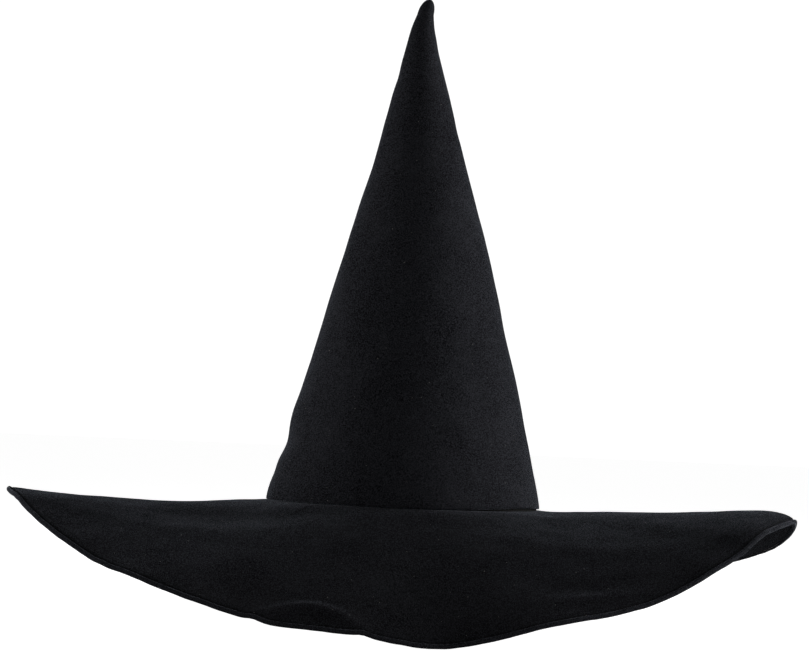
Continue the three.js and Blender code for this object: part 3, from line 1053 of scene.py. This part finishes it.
band_face = SWEATBAND_DEPTH + SWEATBAND_CLOTH
foot_row = sewn_piece(
    "sweatband_stitches", band_stitches(SWEATBAND_LOW + 2.5 * MM, band_face, -172, 172, 4 * MM), BLACK_THREAD
)
tab_face = band_face + 0.9 * MM
tab_levels = (tab_low[2] + 2 * MM, tab_high[2] - 2 * MM)
tab_thread = sewn_piece(
    "sweatband_tab_stitches",
    joined([band_stitches(level, tab_face, 174, 186, 3 * MM) for level in tab_levels]),
    BLACK_THREAD,
)
for row in (foot_row, tab_thread):
    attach(row, "hat")


# ---- Care label ----
# A small blank satin label, caught in the lining over the sweatband to one side of the back.

LABEL_CLOTH = 0.3 * MM
label_low, label_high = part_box("care_label")


def label_satin():
    """Off-white satin with fine threads across it."""
    material, tree, shader, place = new_material("blank_satin")
    axes = node(tree, "SeparateXYZ", {"Vector": place})
    weave = node(tree, "Group", node_tree=PLAIN_WEAVE)
    tree.links.new(axes.outputs["X"], weave.inputs["Along"])
    tree.links.new(axes.outputs["Z"], weave.inputs["Across"])
    weave.inputs["Threads"].default_value = 7000
    colour = node(
        tree, "Mix",
        {"Factor": weave.outputs["Height"], "A": (0.55, 0.55, 0.53, 1), "B": (0.74, 0.74, 0.71, 1)},
        data_type="RGBA",
    )
    tree.links.new(colour.outputs["Result"], shader.inputs["Base Color"])
    shader.inputs["Roughness"].default_value = 0.35
    shader.inputs["Sheen Weight"].default_value = 0.3
    return material


def label_curl(height, bearing):
    """The label's free upper edge curls off the lining."""
    up = (height - label_low[2]) / (label_high[2] - label_low[2])
    return -3.0 * MM * up**2 - 0.4 * MM * sin(radians(bearing) * 30)


label = sewn_piece(
    "blank_care_label",
    inside_band(6.2 * MM, LABEL_CLOTH, label_low[2], label_high[2], 198, 216, 20, label_curl),
    label_satin(),
)
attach(label, "hat")
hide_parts("care_label")


# ---- Studio ----
# A plain pale floor under the lowest part of the brim, white surroundings and large soft lights.

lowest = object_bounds()[0][2]
floor_bm = bmesh.new()
bmesh.ops.create_grid(
    floor_bm, x_segments=1, y_segments=1, size=12, matrix=Matrix.Translation((0, 0, lowest - 0.5 * MM))
)
floor_material, floor_tree, floor_shader, floor_place = new_material("pale_floor")
floor_tone = node(floor_tree, "TexNoise", {"Vector": floor_place, "Scale": 0.8, "Detail": 2})
floor_colour = node(
    floor_tree, "Mix",
    {"Factor": floor_tone.outputs["Fac"], "A": (0.44, 0.44, 0.44, 1), "B": (0.47, 0.47, 0.47, 1)},
    data_type="RGBA",
)
floor_tree.links.new(floor_colour.outputs["Result"], floor_shader.inputs["Base Color"])
floor_shader.inputs["Roughness"].default_value = 0.9
floor_shader.inputs["Emission Color"].default_value = (1, 1, 1, 1)
floor_seen = node(floor_tree, "LightPath").outputs["Is Camera Ray"]
floor_glow = node(floor_tree, "MapRange", {"Value": floor_seen, "To Min": 0.06, "To Max": 0.97})
floor_tree.links.new(floor_glow.outputs["Result"], floor_shader.inputs["Emission Strength"])
floor = sewn_piece("studio_floor", floor_bm, floor_material)

scene = bpy.context.scene
scene.view_settings.view_transform = "Standard"
world = bpy.data.worlds.new("white_studio")
world.use_nodes = True
sky = world.node_tree
surround = sky.nodes["Background"]
sky_place = sky.nodes.new("ShaderNodeTexCoord").outputs["Generated"]
way = node(sky, "SeparateXYZ", {"Vector": sky_place})
behind = node(
    sky, "MapRange", {"Value": way.outputs["Y"], "From Min": -0.7, "From Max": 0.35, "To Min": 0.25, "To Max": 0.35}
)
overhead = node(
    sky, "MapRange", {"Value": way.outputs["Z"], "From Min": 0.0, "From Max": 0.35, "To Min": 1.0, "To Max": 0.03}
)
lit = node(sky, "Math", {0: behind.outputs["Result"], 1: overhead.outputs["Result"]}, operation="MULTIPLY")
seen = node(sky, "LightPath").outputs["Is Camera Ray"]
strength = node(sky, "Mix", {"Factor": seen, "A": lit.outputs["Value"], "B": 1.08}, data_type="FLOAT")
sky.links.new(strength.outputs["Result"], surround.inputs["Strength"])
surround.inputs["Color"].default_value = (1, 1, 1, 1)
scene.world = world


def soft_light(name, place, aim, size, power):
    lamp = bpy.data.lights.new(name, "AREA")
    lamp.shape = "DISK"
    lamp.size = size
    lamp.energy = power
    made = bpy.data.objects.new(name, lamp)
    made.location = place
    made.rotation_euler = (Vector(aim) - Vector(place)).to_track_quat("-Z", "Y").to_euler()
    scene.collection.objects.link(made)


soft_light("left_light", (-2.0, 0.5, 0.3), (0, 0, 0.1), 0.8, 29)
soft_light("right_light", (2.0, 0.3, 0.5), (0, 0, 0.1), 0.8, 42)
soft_light("front_light", (0.7, -1.7, 1.6), (0, 0, 0.1), 1.6, 13)
soft_light("back_light", (-0.8, 1.9, 1.3), (0, 0, 0.1), 1.6, 10)

# The camera stands in front, a little above the head opening, and is turned so that the hat leans to the right
CAMERA_DISTANCE = 2.5
CAMERA_HEIGHT = 64 * MM
ROLL = 2.45
camera_data = bpy.data.cameras.new("front_camera")
camera_data.lens = 158.9
camera_data.sensor_width = 36
camera = bpy.data.objects.new("front_camera", camera_data)
camera.location = (0, -CAMERA_DISTANCE, CAMERA_HEIGHT)
aim = Vector((-4.0 * MM, 0, 124.4 * MM)) - camera.location
look = aim.to_track_quat("-Z", "Y").to_matrix() @ Matrix.Rotation(radians(ROLL), 3, "Z")
camera.rotation_euler = look.to_euler()
scene.collection.objects.link(camera)
scene.camera = camera
